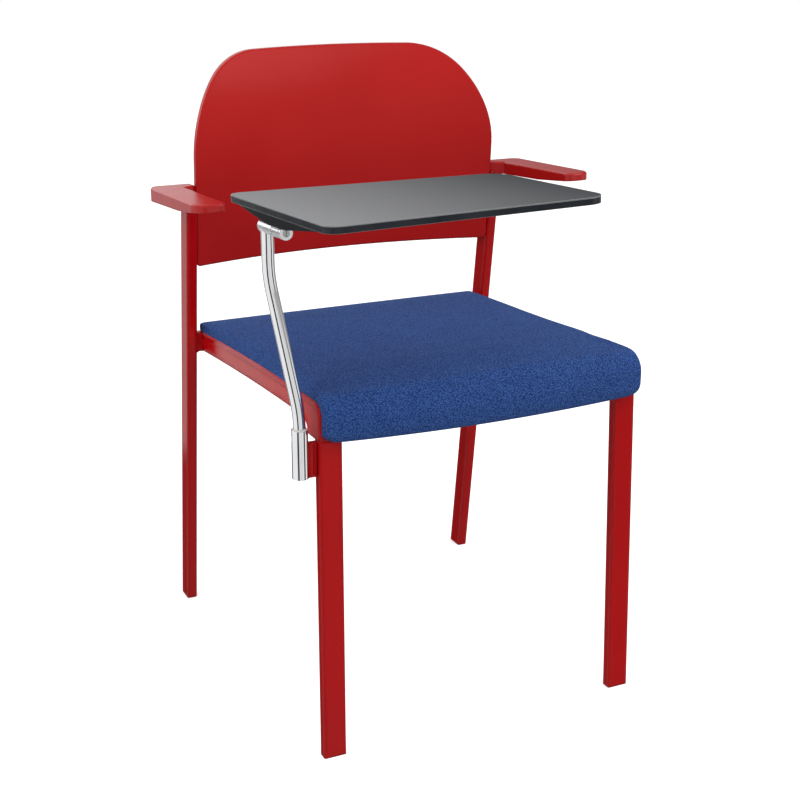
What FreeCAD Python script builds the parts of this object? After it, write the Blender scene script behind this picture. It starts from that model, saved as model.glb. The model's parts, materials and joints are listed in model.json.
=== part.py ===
import FreeCAD
import Part
import math
import os

# Stacking training chair with a writing tablet that flips up and swings out.
# Millimetres, +Z up, the front looks along -Y, origin on the floor below the middle of the whole.

Vector = FreeCAD.Vector
Placement = FreeCAD.Placement
Rotation = FreeCAD.Rotation

# Tubes of the frame
tube_wide = 30.0
tube_deep = 15.0
tube_wall = 1.5
tube_round = 2.5
rail_tall = 28.0
rail_bevel = 1.6

# Seat frame, with its heights measured from the tops of the front legs
leg_top = 420.0
rail_out = 220.5
rail_long = 440.3
rail_rear_y = 263.0
rail_rear_drop = 7.2
rail_mid_back = 193.0
rail_mid_rise = 8.9
rail_knee_rise = 17.0
rail_bow_share = 0.8
knee_deep = 37.7
knee_round = 17.0
knee_hollow = 16.5
under_rail_back = 65.3
under_rail_wide = 26.0

# Legs, given by how far their feet stand out and how far they lean
front_splay = 4.5
front_rake = 11.0
rear_foot_back = 76.0
rear_rake_share = 0.1435
cap_thick = 2.0
cap_inset = 0.8
glide_tall = 14.0

# Seat shell and its cushion
board_thick = 4.0
board_lip_rise = 7.0
cushion_side_in = 3.0
cushion_rim = 3.5
cushion_lip_out = 17.2
cushion_lip_rise = 1.0
cushion_rear_thick = 11.2
cushion_front_thick = 15.14
cushion_rear_round = 7.0
cushion_front_round = 26.0
cushion_lip_round = 11.0
cushion_tuck_round = 4.6
cushion_side_round = 7.0
cushion_side_pull = 5.6
cushion_side_lift = 2.0
cushion_corner_round = 1.0
cushion_crown = 5.0
cushion_edge_crown = 0.1
crown_shares = [0.0, 0.42, 0.78]
edge_turns_deg = [0.0, 45.0, 85.0]

# Back panel, whose heights follow the front face on its middle line
panel_thick = 12.0
panel_over_legs = 120.5
panel_tall = 290.0
panel_behind_leg = 20.56
panel_lean_share = 0.093
panel_bend_rise = 129.5
panel_bend_round = 300.0
panel_bow_round = 750.0
panel_crown = 1.4
panel_shoulder_wide = 111.0
panel_shoulder_tall = 141.0
panel_tight_share = 0.856
panel_foot_round = 5.0
panel_bevel = 1.6
panel_spans = 4
lug_rises = [25.5, 75.5]
lug_wide = 26.0
lug_tall = 28.0
lug_thick = 3.0
lug_screw_in = 13.0

# Arm pads and the flat bars that carry them
arm_over_legs = 235.1
pad_gap = 18.5
pad_wide = 41.0
pad_long = 216.9
pad_behind_leg = 19.5
pad_root_long = 23.5
pad_notch_long = 35.5
pad_rise = 11.6
pad_rear_thick = 19.0
pad_bend_rise = 9.9
pad_nose_thick = 9.9
pad_nose_out_share = 0.585
pad_nose_in_share = 0.293
pad_heel_round = 15.0
pad_edge_bevel = 2.0
bar_long = 134.5
bar_wide = 25.0
bar_thick = 5.0
bar_screw_shares = [0.08, 0.48, 0.88]

# Socket for the tablet's post
socket_gap = 11.3
socket_back = 7.8
socket_drop = 44.0
socket_tall = 61.0
socket_wall = 1.5
bush_wall = 0.95
bush_proud = 1.4
plug_thick = 4.0
bracket_gap = 0.6
bracket_tall = 44.0
bracket_thick = 6.0
slot_down = 11.0
slot_tall = 7.0

# Post, bent twice between the socket and the hinge
post_radius = 7.5
post_low_rise = 19.0
post_high_drop = 57.7
post_jog_out = 24.1
post_jog_back = 24.1
post_bend_round = 180.0
stop_pin_radius = 2.25
stop_pin_short = 0.4
stop_pin_deep = 3.0
stop_pin_deg = 145.0
swing_out_deg = 90.0
swing_in_deg = 8.0
swing_spare_deg = 1.0

# Hinge under the tablet, at a height that keeps the tablet clear of the arm pad
hinge_over_pad = 9.0
hinge_tilt_deg = 3.05
hinge_turn_deg = 1.0
knuckle_radius = 7.8
knuckle_rear = 10.7
knuckle_length = 40.3
washer_thick = 1.8
washer_inset = 1.0
end_knuckle_length = 20.0
end_groove = 1.3
end_groove_deep = 2.5
end_cap_length = 5.2
pin_radius = 4.0
pin_head_radius = 6.8
pin_head_thick = 3.0
pin_slot_wide = 1.4
pin_slot_deep = 1.2
stop_tab_out = 16.0
stop_tab_long = 14.0
stop_tab_thick = 3.0
stop_tab_y = -19.0
foot_wide = 14.0

# Tablet, measured from the hinge
tablet_left = -15.4
tablet_long = 352.0
tablet_mid_y = -61.6
tablet_left_half = 148.9
tablet_right_half = 124.2
tablet_left_round = 16.0
tablet_right_round = 30.0
tablet_core_thick = 7.5
tablet_sheet_thick = 1.0
tablet_band_wide = 2.5
block_deep = 12.1
block_rear = 60.0
block_front = -187.0
block_flat_rear = -36.0
block_flat_front = -84.0
block_wide = 42.0
block_inset = 0.4
block_bend_round = 60.0
block_edge_round = 2.5
block_screw_x = [-6.0, 16.0]
block_screw_y = [14.0, -138.0]
block_skin = 2.5

# Screws and clearances
screw_radius = 2.5
screw_head_radius = 4.6
screw_head_thick = 2.6
screw_bite = 3.0
screw_hole_gap = 0.25
fixed_fit = 0.03
running_fit = 0.05
soft_gap = 0.3
seat_gap = 0.3
glide_fit = 0.1
over = 5.0

# Places that follow from the sizes above, first those of the seat frame
knee_y = rail_rear_y - rail_long
knee_back_y = knee_y + knee_deep
rail_mid_y = rail_rear_y - rail_mid_back
rail_rear_low = leg_top - rail_rear_drop
rail_mid_low = leg_top + rail_mid_rise
rail_knee_low = leg_top + rail_knee_rise
front_slope = (rail_knee_low - rail_mid_low) / (rail_mid_y - knee_back_y)
knee_top = rail_mid_low + rail_tall + front_slope * (rail_mid_y - knee_y)
under_rail_y = knee_y + under_rail_back
rear_in = rail_out + tube_deep / 2
rear_foot_y = rail_rear_y + rear_foot_back

# Seat
board_lip_low = leg_top + board_lip_rise
cushion_half = rail_out - cushion_side_in
cushion_rear_y = rail_rear_y + tube_deep
cushion_lip_y = knee_y - cushion_lip_out
cushion_lip_low = leg_top + cushion_lip_rise
cushion_rear_top = rail_rear_low + rail_tall + cushion_rear_thick
cushion_front_top = knee_top + cushion_front_thick

# Back panel
panel_low = leg_top + panel_over_legs
panel_high = panel_low + panel_tall
panel_bend_z = panel_low + panel_bend_rise
panel_low_y = rear_foot_y - rear_rake_share * panel_low + panel_behind_leg
lug_heights = [panel_low + rise for rise in lug_rises]

# Arms
pad_in = rear_in + pad_gap
pad_out = pad_in + pad_wide
pad_rear_high = leg_top + arm_over_legs
pad_front_high = pad_rear_high + pad_rise
pad_rear_low = pad_rear_high - pad_rear_thick
pad_bend_low = pad_rear_low + pad_bend_rise
pad_nose_low = pad_front_high - pad_nose_thick
pad_rear_y = rear_foot_y - rear_rake_share * pad_rear_high + pad_behind_leg
pad_root_y = pad_rear_y - pad_root_long
pad_notch_y = pad_rear_y - pad_notch_long
pad_bend_y = pad_rear_y - bar_long
pad_front_y = pad_rear_y - pad_long
pad_floor_slope = (pad_bend_low - pad_rear_low) / (pad_rear_y - pad_bend_y)

# Socket, post and hinge
bush_radius = post_radius + running_fit + bush_wall
socket_radius = bush_radius + socket_wall
stop_pin_out = socket_radius - stop_pin_short
stop_pin_in = post_radius - stop_pin_deep
socket_x = -(rail_out + socket_gap + socket_radius)
post_y = knee_y + socket_back
socket_low = leg_top - socket_drop
socket_high = socket_low + socket_tall
bush_high = socket_high + bush_proud
bracket_high = leg_top - bracket_gap
bracket_low = bracket_high - bracket_tall
slot_mid = socket_high - slot_down
hinge_x = socket_x - post_jog_out
hinge_y = post_y + post_jog_back
hinge_z = pad_front_high + hinge_over_pad
post_low_bend = socket_high + post_low_rise
post_high_bend = hinge_z - post_high_drop

# Stations along the hinge and heights above it
knuckle_front = knuckle_rear - knuckle_length
end_knuckle_rear = knuckle_front - washer_thick - 2 * running_fit
end_groove_rear = end_knuckle_rear - end_knuckle_length
end_cap_rear = end_groove_rear - end_groove
end_cap_front = end_cap_rear - end_cap_length
block_floor = knuckle_radius + seat_gap
board_floor = block_floor + block_deep


# Points, outlines and solids

def on_plan(points, z):
    return [Vector(u, v, z) for u, v in points]


def on_side(points, x):
    return [Vector(x, u, v) for u, v in points]


def corner_round(before, here, after, share):
    # Radius whose arc uses this share of the shorter of the two runs at a corner
    back = Vector(*before) - Vector(*here)
    ahead = Vector(*after) - Vector(*here)
    run = share * min(back.Length, ahead.Length)
    return run * math.tan(back.getAngle(ahead) / 2)


def run_edges(points, radii, closed):
    # Straight runs joined by tangent arcs of the given radii
    count = len(points)
    starts = []
    middles = []
    ends = []
    for i in range(count):
        here = points[i]
        radius = radii[i]
        if radius == 0:
            starts.append(here)
            middles.append(None)
            ends.append(here)
            continue
        back = (points[i - 1] - here).normalize()
        ahead = (points[(i + 1) % count] - here).normalize()
        half = back.getAngle(ahead) / 2
        reach = radius / math.tan(half)
        inward = (back + ahead).normalize()
        starts.append(here + back * reach)
        middles.append(here + inward * (radius / math.sin(half) - radius))
        ends.append(here + ahead * reach)
    edges = []
    for i in range(count):
        if middles[i] is not None:
            edges.append(Part.Arc(starts[i], middles[i], ends[i]).toShape())
        if closed or i < count - 1:
            edges.append(Part.makeLine(ends[i], starts[(i + 1) % count]))
    return edges


def outline(points, radii):
    return Part.Wire(run_edges(points, radii, True))


def prism(points, radii, along):
    return Part.Face(outline(points, radii)).extrude(along)


def rectangle(half_u, half_v):
    return [(-half_u, -half_v), (half_u, -half_v), (half_u, half_v), (-half_u, half_v)]


def shifted(points, du, dv):
    return [(u + du, v + dv) for u, v in points]


def mirrored(shape):
    return shape.mirror(Vector(0, 0, 0), Vector(1, 0, 0))


def edges_where(shape, test):
    # Edges whose two ends and middle all pass the test
    chosen = []
    for edge in shape.Edges:
        first, last = edge.ParameterRange
        probes = [edge.valueAt(first), edge.valueAt((first + last) / 2), edge.valueAt(last)]
        if all(test(p) for p in probes):
            chosen.append(edge)
    return chosen


def hexagon(radius, low, length):
    # Six-sided bar up along +Z, measured to its corners
    corners = [math.radians(60 * i) for i in range(6)]
    points = [(radius * math.cos(a), radius * math.sin(a)) for a in corners]
    return prism(on_plan(points, low), [0] * 6, Vector(0, 0, length))


def screw(length):
    # Hexagon head below the origin, shank up along +Z
    head = hexagon(screw_head_radius, -screw_head_thick, screw_head_thick)
    return head.fuse(hexagon(screw_radius, 0, length)).removeSplitter()


# Frame

def sheared_tube(foot, lean, half_x, half_y, wall):
    # Rectangular tube cut level at both ends, leaning by the vector lean
    outer = shifted(rectangle(half_x, half_y), foot.x, foot.y)
    inner = shifted(rectangle(half_x - wall, half_y - wall), foot.x, foot.y)
    solid = prism(on_plan(outer, foot.z), [tube_round] * 4, lean)
    bore = prism(on_plan(inner, foot.z), [0] * 4, lean)
    return solid, bore


def front_leg_foot():
    x = rail_out - tube_wide / 2 + front_splay
    y = knee_y + tube_deep / 2 - front_rake
    return Vector(x, y, 0)


def front_leg_blank():
    lean = Vector(-front_splay, front_rake, leg_top)
    return sheared_tube(front_leg_foot(), lean, tube_wide / 2, tube_deep / 2, tube_wall)


def rear_leg_foot():
    return Vector(rear_in + tube_deep / 2, rear_foot_y, 0)


def rear_leg_rake_deg():
    return math.degrees(math.atan(rear_rake_share))


def rear_leg_bar(half_x, half_y, low, high):
    # Bar square to the rear leg's line, from low to high along it
    bar = prism(on_plan(rectangle(half_x, half_y), low), [0] * 4, Vector(0, 0, high - low))
    bar.Placement = Placement(rear_leg_foot(), Rotation(Vector(1, 0, 0), rear_leg_rake_deg()))
    return bar


def rear_leg_blank():
    outer = on_plan(rectangle(tube_deep / 2, tube_wide / 2), -tube_wide)
    solid = prism(outer, [tube_round] * 4, Vector(0, 0, pad_rear_high + 2 * tube_wide))
    solid.Placement = Placement(rear_leg_foot(), Rotation(Vector(1, 0, 0), rear_leg_rake_deg()))
    bore = rear_leg_bar(
        tube_deep / 2 - tube_wall, tube_wide / 2 - tube_wall, -tube_wide, pad_rear_high + tube_wide
    )
    return solid, bore


def below_floor():
    corner = Vector(-2 * rear_in, -2 * rear_foot_y, -2 * tube_wide)
    return Part.makeBox(4 * rear_in, 4 * rear_foot_y, 2 * tube_wide, corner)


def above_pad_floor():
    # Everything above the sloping underside of the arm pads
    high = pad_rear_high + tube_wide
    rear = pad_rear_y + tube_wide
    front = pad_front_y
    points = [(rear, pad_floor(rear)), (front, pad_floor(front)), (front, high), (rear, high)]
    return prism(on_side(points, 0), [0] * 4, Vector(pad_out, 0, 0))


def front_leg():
    solid, bore = front_leg_blank()
    return solid.cut(bore)


def rear_leg():
    solid, bore = rear_leg_blank()
    return solid.cut(bore).cut(above_pad_floor()).cut(below_floor())


def foot_glides():
    # Inserts whose faces lie flush with the ends of the tubes
    glides = []
    share = glide_tall / leg_top
    lean = Vector(-front_splay, front_rake, leg_top) * share
    foot = front_leg_foot()
    half_x = tube_wide / 2 - tube_wall - glide_fit
    half_y = tube_deep / 2 - tube_wall - glide_fit
    points = on_plan(shifted(rectangle(half_x, half_y), foot.x, foot.y), 0)
    glides.append(prism(points, [0] * 4, lean))
    half_x = tube_deep / 2 - tube_wall - glide_fit
    half_y = tube_wide / 2 - tube_wall - glide_fit
    glides.append(rear_leg_bar(half_x, half_y, -tube_wide, glide_tall).cut(below_floor()))
    return Part.Compound(glides + [mirrored(g) for g in glides])


def leg_caps():
    # Plates that close the inner half of each front leg's top
    outer = rail_out - tube_deep
    inner = rail_out - tube_wide
    front = knee_y + cap_inset
    rear = knee_y + tube_deep - cap_inset
    points = [(inner + cap_inset, front), (outer, front), (outer, rear), (inner + cap_inset, rear)]
    cap = prism(on_plan(points, leg_top), [0] * 4, Vector(0, 0, cap_thick))
    return Part.Compound([cap, mirrored(cap)])


bow_round = corner_round(
    (rail_rear_y, rail_rear_low, 0),
    (rail_mid_y, rail_mid_low, 0),
    (knee_back_y, rail_knee_low, 0),
    rail_bow_share,
)


def rail_top_at(y):
    # Height and slope of the rails' top between its bow and the knee, or behind the bow
    if y <= rail_mid_y:
        return rail_mid_low + rail_tall + front_slope * (rail_mid_y - y), front_slope
    rear_slope = (rail_mid_low - rail_rear_low) / (rail_rear_y - rail_mid_y)
    return rail_mid_low + rail_tall - rear_slope * (y - rail_mid_y), rear_slope


def bow_drop(y):
    # How far the bowed line lies below its two straight runs at y
    reach = rail_bow_share * min(rail_rear_y - rail_mid_y, rail_mid_y - knee_back_y)
    away = abs(y - rail_mid_y)
    if away >= reach:
        return 0
    return (reach - away) ** 2 / (2 * bow_round)


def side_rail_blank(inset, half_x, reach):
    # Bowed rail whose front end bends down onto the leg, with its rear end reaching further back
    rear_y = rail_rear_y + reach
    rear_low = rail_rear_low - reach * rail_top_at(rail_rear_y)[1]
    points = [
        (rear_y, rear_low + inset),
        (rail_mid_y, rail_mid_low + inset),
        (knee_back_y - inset, rail_knee_low + inset),
        (knee_back_y - inset, leg_top + inset),
        (knee_y + inset, leg_top + inset),
        (knee_y + inset, knee_top - inset),
        (rail_mid_y, rail_mid_low + rail_tall - inset),
        (rear_y, rear_low + rail_tall - inset),
    ]
    radii = [0, bow_round, knee_hollow + inset, 0, 0, knee_round - inset, bow_round, 0]
    middle = rail_out - tube_deep / 2
    return prism(on_side(points, middle - half_x), radii, Vector(2 * half_x, 0, 0))


def side_rail():
    blank = side_rail_blank(0, tube_deep / 2, 0)
    outer = rail_out
    inner = rail_out - tube_deep

    def long_edge(p):
        on_wall = abs(p.x - outer) < fixed_fit or abs(p.x - inner) < fixed_fit
        return on_wall and p.z > leg_top + fixed_fit

    def not_end(edge):
        box = edge.BoundBox
        return box.YLength > fixed_fit and box.ZLength > fixed_fit or box.YMin < knee_back_y

    long_edges = [e for e in blank.Edges if abs(e.BoundBox.XLength) < fixed_fit and not_end(e)]
    long_edges = [e for e in long_edges if long_edge(e.valueAt(sum(e.ParameterRange) / 2))]
    blank = blank.makeChamfer(rail_bevel, long_edges)
    rail = blank.cut(side_rail_blank(tube_wall, tube_deep / 2 - tube_wall, over))
    for hole in seat_screw_holes():
        rail = rail.cut(hole)
    return rail


def cross_tube(length, deep, tall):
    # Tube along X about the origin with its top at zero
    outer = shifted(rectangle(deep / 2, tall / 2), 0, -tall / 2)
    inner = shifted(rectangle(deep / 2 - tube_wall, tall / 2 - tube_wall), 0, -tall / 2)
    along = Vector(length, 0, 0)
    solid = prism(on_side(outer, -length / 2), [tube_round] * 4, along)
    bore = prism(on_side(inner, -length / 2), [0] * 4, along)
    return solid.cut(bore)


def rear_cross_rail():
    rail = cross_tube(2 * rear_in, tube_deep, rail_tall)
    rail.translate(Vector(0, rail_rear_y + tube_deep / 2, rail_rear_low + rail_tall))
    return rail


def at_rail_top(shape, x, y):
    # Sets a shape made about the origin square onto the rails' top line at y
    height, slope = rail_top_at(y)
    place = Vector(x, y, height - bow_drop(y))
    shape.Placement = Placement(place, Rotation(Vector(1, 0, 0), -math.degrees(math.atan(slope))))
    return shape


def under_rail():
    tube = cross_tube(2 * (rail_out - tube_deep), under_rail_wide, tube_deep)
    return at_rail_top(tube, 0, under_rail_y)


# Seat

def seat_line(rise, rear_y):
    # Line over the cross rail, along the rails and round the knee, raised by rise
    rear_top = rail_rear_low + rail_tall + rise
    points = [
        (rear_y, rear_top),
        (rail_rear_y, rear_top),
        (rail_mid_y, rail_mid_low + rail_tall + rise),
        (knee_y - rise, knee_top + rise),
    ]
    return points, [0, 0, bow_round, knee_round + rise]


def board_rear_y():
    return cushion_rear_y - cushion_rim


def board_blank(grow):
    half = cushion_half - cushion_rim + grow
    lower, lower_radii = seat_line(0, board_rear_y() + grow)
    upper, upper_radii = seat_line(board_thick + grow, board_rear_y() + grow)
    lip = [(knee_y, board_lip_low - grow), (knee_y - board_thick - grow, board_lip_low - grow)]
    points = lower + lip + upper[::-1]
    radii = lower_radii + [0, 0] + upper_radii[::-1]
    return prism(on_side(points, -half), radii, Vector(2 * half, 0, 0))


def seat_screw_spots():
    x = rail_out - tube_deep / 2 - screw_radius
    return [(x, rail_rear_y - 3 * tube_wide), (x, knee_back_y + 3 * tube_wide)]


def seat_screw_shapes(radius, extra):
    shapes = []
    for x, y in seat_screw_spots():
        shank = hexagon(radius, -rail_tall, rail_tall + screw_bite + extra)
        shapes.append(at_rail_top(shank, x, y))
    return shapes


def seat_screw_holes():
    return seat_screw_shapes(screw_radius + screw_hole_gap, 0)


def seat_board():
    board = board_blank(0)
    for hole in seat_screw_shapes(screw_radius + fixed_fit, fixed_fit):
        board = board.cut(hole).cut(mirrored(hole))
    return board


def seat_screws():
    screws = []
    for x, y in seat_screw_spots():
        shape = screw(rail_tall + screw_bite)
        shape.translate(Vector(0, 0, -rail_tall))
        shape = at_rail_top(Part.Compound([shape]), x, y).Solids[0]
        screws.append(shape)
    return Part.Compound(screws + [mirrored(s) for s in screws])


def cushion_section(x, pull, lift, crown):
    # One slice of the cushion, drawn in by pull at its outer edges and by lift at its underside
    under, under_radii = seat_line(soft_gap + lift, cushion_rear_y - pull)
    under_radii[0] = cushion_corner_round
    top_mid = (cushion_rear_top + cushion_front_top) / 2 + 2 * crown - pull
    lip_back = knee_y - soft_gap - lift
    points = under + [
        (lip_back, cushion_lip_low + pull),
        (cushion_lip_y + pull, cushion_lip_low + pull),
        (cushion_lip_y + pull, cushion_front_top - pull),
        ((cushion_lip_y + cushion_rear_y) / 2, top_mid),
        (cushion_rear_y - pull, cushion_rear_top - pull),
    ]
    ends = [points[-3], points[-2], points[-1]]
    if crown:
        top_round = corner_round((*ends[0], 0), (*ends[1], 0), (*ends[2], 0), rail_bow_share)
    else:
        top_round = 0
    radii = under_radii + [
        cushion_tuck_round - lift,
        cushion_lip_round - pull,
        cushion_front_round - pull,
        top_round,
        cushion_rear_round - pull,
    ]
    return outline(on_side(points, x), radii)


def seat_cushion():
    # Crowned pad with rounded, drawn-in sides, hollowed below for the shell
    stations = []
    flat_half = cushion_half - cushion_side_round
    for turn in reversed(edge_turns_deg):
        angle = math.radians(turn)
        x = flat_half + cushion_side_round * math.sin(angle)
        draw = 1 - math.cos(angle)
        stations.append((x, cushion_side_pull * draw, cushion_side_lift * draw, cushion_edge_crown))
    for share in reversed(crown_shares):
        stations.append((share * flat_half, 0, 0, cushion_crown * (1 - share ** 2)))
    sections = [cushion_section(*s) for s in stations]
    sections += [cushion_section(-s[0], *s[1:]) for s in reversed(stations[:-1])]
    pad = Part.makeLoft(sections, True, True)
    return pad.cut(board_blank(soft_gap)).Solids[0]


# Back

def panel_face_at(z):
    # Where the front face's middle line lies at a height, and how far it leans back
    straight_y = panel_low_y - panel_lean_share * (min(z, panel_bend_z) - panel_low)
    lean = math.atan(panel_lean_share)
    if z <= panel_bend_z:
        return straight_y, lean
    centre_y = straight_y + panel_bend_round * math.cos(lean)
    centre_z = panel_bend_z + panel_bend_round * math.sin(lean)
    turn = math.asin((z - centre_z) / panel_bend_round)
    return centre_y - panel_bend_round * math.cos(turn), -turn


def panel_slice(z):
    # Level slice of the bowed sheet, a little wider than the panel
    axis_y = panel_low_y - panel_bow_round
    face_y, lean = panel_face_at(z)
    front = face_y - axis_y
    rear = front + panel_thick / math.cos(lean)
    half = math.asin((panel_half() + over) / front)

    def spot(radius, turn):
        return Vector(radius * math.sin(turn), axis_y + radius * math.cos(turn), z)

    return Part.Wire([
        Part.Arc(spot(front, -half), spot(front, 0), spot(front, half)).toShape(),
        Part.makeLine(spot(front, half), spot(rear, half)),
        Part.Arc(spot(rear, half), spot(rear, 0), spot(rear, -half)).toShape(),
        Part.makeLine(spot(rear, -half), spot(front, -half)),
    ])


def panel_half():
    return rear_in - seat_gap


def panel_outline():
    # Front view: level foot, upright sides, elliptical shoulders and a slight crown
    half = panel_half()
    shoulder_z = panel_high - panel_crown - panel_shoulder_tall
    shoulder_x = half - panel_shoulder_wide
    top_z = panel_high - panel_crown

    # Each shoulder is a wide arc that runs on into a tighter one
    wide = panel_shoulder_wide
    tall = panel_shoulder_tall
    tight = panel_tight_share * wide
    slack = (wide ** 2 + tall ** 2 - 2 * tall * tight) / (2 * (wide - tight))
    join = math.atan2(tall - tight, slack - wide)

    def shoulder(side):
        def spot(across, up, radius, turn):
            x = shoulder_x + across + radius * math.cos(turn)
            return Vector(side * x, 0, shoulder_z + up + radius * math.sin(turn))

        low = [spot(wide - slack, 0, slack, join * share) for share in (0, 0.5, 1)]
        mid = (join + math.pi / 2) / 2
        high = [spot(0, tall - tight, tight, turn) for turn in (join, mid, math.pi / 2)]
        return [Part.Arc(*low).toShape(), Part.Arc(*high).toShape()]

    left_foot = Vector(-half, 0, panel_low)
    right_foot = Vector(half, 0, panel_low)
    foot = run_edges(
        [Vector(-half, 0, shoulder_z), left_foot, right_foot, Vector(half, 0, shoulder_z)],
        [0, panel_foot_round, panel_foot_round, 0],
        False,
    )
    crown = Part.Arc(
        Vector(shoulder_x, 0, top_z), Vector(0, 0, panel_high), Vector(-shoulder_x, 0, top_z)
    ).toShape()
    return Part.Wire(Part.sortEdges(foot + shoulder(1) + [crown] + shoulder(-1))[0])


def back_panel():
    # Straight sheet below and bent sheet above, cut to the outline and bevelled all round
    bent_tall = panel_high + over - panel_bend_z
    bent = [panel_slice(panel_bend_z + bent_tall * i / panel_spans) for i in range(panel_spans + 1)]
    straight = [panel_slice(panel_low - over), bent[0]]
    sheet = Part.makeLoft(straight, True, True).fuse(Part.makeLoft(bent, True, False))
    panel = sheet.common(Part.Face(panel_outline()).extrude(Vector(0, panel_bow_round, 0))).Solids[0]

    def outer_edge(edge):
        middle = edge.valueAt(sum(edge.ParameterRange) / 2)
        level = edge.BoundBox.ZLength < fixed_fit and abs(middle.z - panel_bend_z) < fixed_fit
        return not level and edge.Length > panel_thick + over

    panel = panel.makeChamfer(panel_bevel, [e for e in panel.Edges if outer_edge(e)])
    for hole in panel_screw_shanks(screw_radius + fixed_fit, fixed_fit):
        panel = panel.cut(hole).cut(mirrored(hole))
    return panel.Solids[0]


def panel_rear_placement(side_x, height):
    # Frame on the panel's rear face, with +Z pointing back out of it
    axis_y = panel_low_y - panel_bow_round
    tilt = math.atan(panel_lean_share)
    front_y = panel_low_y - panel_lean_share * (height - panel_low)
    radius = front_y + panel_thick / math.cos(tilt) - axis_y
    turn = math.asin(side_x / radius)
    point = Vector(side_x, axis_y + radius * math.cos(turn), height)
    out = Vector(math.sin(turn) * math.cos(tilt), math.cos(turn) * math.cos(tilt), math.sin(tilt))
    across = Vector(math.cos(turn), -math.sin(turn), 0)
    return Placement(point, Rotation(across, out.cross(across), out, "ZXY"))


def lug_screw_x():
    return panel_half() - lug_screw_in


def back_lugs():
    # Tabs on the rear legs behind the panel's edges, flush on the legs' inner faces
    lugs = []
    left = -lug_wide / 2
    right = lug_wide / 2 + over
    high = lug_tall / 2
    points = [(left, -high), (right, -high), (right, high), (left, high)]
    radii = [2 * tube_round, 0, 0, 2 * tube_round]
    for height in lug_heights:
        lug = prism(on_plan(points, seat_gap), radii, Vector(0, 0, lug_thick))
        hole = hexagon(screw_radius + screw_hole_gap, -over, lug_thick + 2 * over)
        lug = lug.cut(hole)
        lug.Placement = panel_rear_placement(lug_screw_x(), height)
        beyond = Part.makeBox(4 * over, rear_foot_y, panel_high, Vector(rear_in, 0, 0))
        lugs.append(lug.cut(beyond))
    return Part.Compound(lugs + [mirrored(g) for g in lugs])


def panel_screw_shanks(radius, extra):
    shanks = []
    deep = panel_thick - screw_bite
    for height in lug_heights:
        shank = hexagon(radius, -deep - extra, deep + lug_thick + seat_gap + extra)
        shank.Placement = panel_rear_placement(lug_screw_x(), height)
        shanks.append(shank)
    return shanks


def back_screws():
    screws = []
    deep = panel_thick - screw_bite
    for height in lug_heights:
        shape = screw(deep + lug_thick + seat_gap)
        shape.rotate(Vector(0, 0, 0), Vector(1, 0, 0), 180)
        shape.translate(Vector(0, 0, lug_thick + seat_gap))
        shape = Part.Compound([shape])
        shape.Placement = panel_rear_placement(lug_screw_x(), height)
        screws.append(shape.Solids[0])
    return Part.Compound(screws + [mirrored(s) for s in screws])


# Arms

def pad_floor(y):
    return pad_rear_low + pad_floor_slope * (pad_rear_y - y)


def pad_blank():
    plan = [
        (rear_in, pad_rear_y),
        (pad_out, pad_rear_y),
        (pad_out, pad_front_y),
        (pad_in, pad_front_y),
        (pad_in, pad_notch_y),
        (rear_in, pad_root_y),
    ]
    radii = [0, pad_heel_round, pad_nose_out_share * pad_wide, pad_nose_in_share * pad_wide, 0, 0]
    side = [
        (pad_rear_y + over, pad_floor(pad_rear_y + over)),
        (pad_bend_y, pad_bend_low),
        (pad_front_y - over, pad_nose_low),
        (pad_front_y - over, pad_top(pad_front_y - over)),
        (pad_rear_y + over, pad_top(pad_rear_y + over)),
    ]
    tall = pad_front_high - pad_rear_low + 2 * over
    upright = prism(on_plan(plan, pad_rear_low - over), radii, Vector(0, 0, tall))
    across = Vector(pad_out - rear_in + 2 * over, 0, 0)
    slab = prism(on_side(side, rear_in - over), [0] * 5, across)
    return upright.common(slab).Solids[0]


def pad_top(y):
    slope = (pad_front_high - pad_rear_high) / (pad_rear_y - pad_front_y)
    return pad_rear_high + slope * (pad_rear_y - y)


def bar_line_x():
    return (pad_in + pad_out) / 2


def arm_bar():
    # Flat bar let into the pad's underside, from the top of the rear leg along the pad
    rear = pad_rear_y - over / 2
    outer = bar_line_x() + bar_wide / 2
    inner = bar_line_x() - bar_wide / 2
    plan = [
        (rear_in, rear),
        (outer, rear),
        (outer, pad_bend_y),
        (inner, pad_bend_y),
        (inner, rear - bar_wide),
        (rear_in, rear - bar_wide),
    ]
    radii = [0, bar_wide / 3, bar_wide / 3, bar_wide / 3, 0, 0]
    tall = pad_front_high - pad_rear_low + over
    upright = prism(on_plan(plan, pad_rear_low - over), radii, Vector(0, 0, tall))
    front = pad_bend_y
    side = [
        (pad_rear_y, pad_floor(pad_rear_y)),
        (front, pad_floor(front)),
        (front, pad_floor(front) + bar_thick),
        (pad_rear_y, pad_floor(pad_rear_y) + bar_thick),
    ]
    slab = prism(on_side(side, rear_in), [0] * 4, Vector(pad_out - rear_in, 0, 0))
    return upright.common(slab).Solids[0]


def arm_screw_placements():
    places = []
    tilt = Rotation(Vector(1, 0, 0), -math.degrees(math.atan(pad_floor_slope)))
    rear = pad_rear_y - bar_wide
    for share in bar_screw_shares:
        y = rear + share * (pad_bend_y - rear)
        places.append(Placement(Vector(bar_line_x(), y, pad_floor(y)), tilt))
    return places


def arm_screw_holes(radius, length):
    holes = []
    for place in arm_screw_placements():
        hole = hexagon(radius, -over, length + over)
        hole.Placement = place
        holes.append(hole)
    return holes


def arm_screw_length():
    return bar_thick + screw_bite


def arm_pad():
    pad = pad_blank()
    rim = edges_where(pad, lambda p: abs(p.z - pad_top(p.y)) < fixed_fit)
    pad = pad.makeChamfer(pad_edge_bevel, rim)
    pad = pad.cut(arm_bar())
    for hole in arm_screw_holes(screw_radius + fixed_fit, arm_screw_length() + fixed_fit):
        pad = pad.cut(hole)
    return pad.Solids[0]


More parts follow.
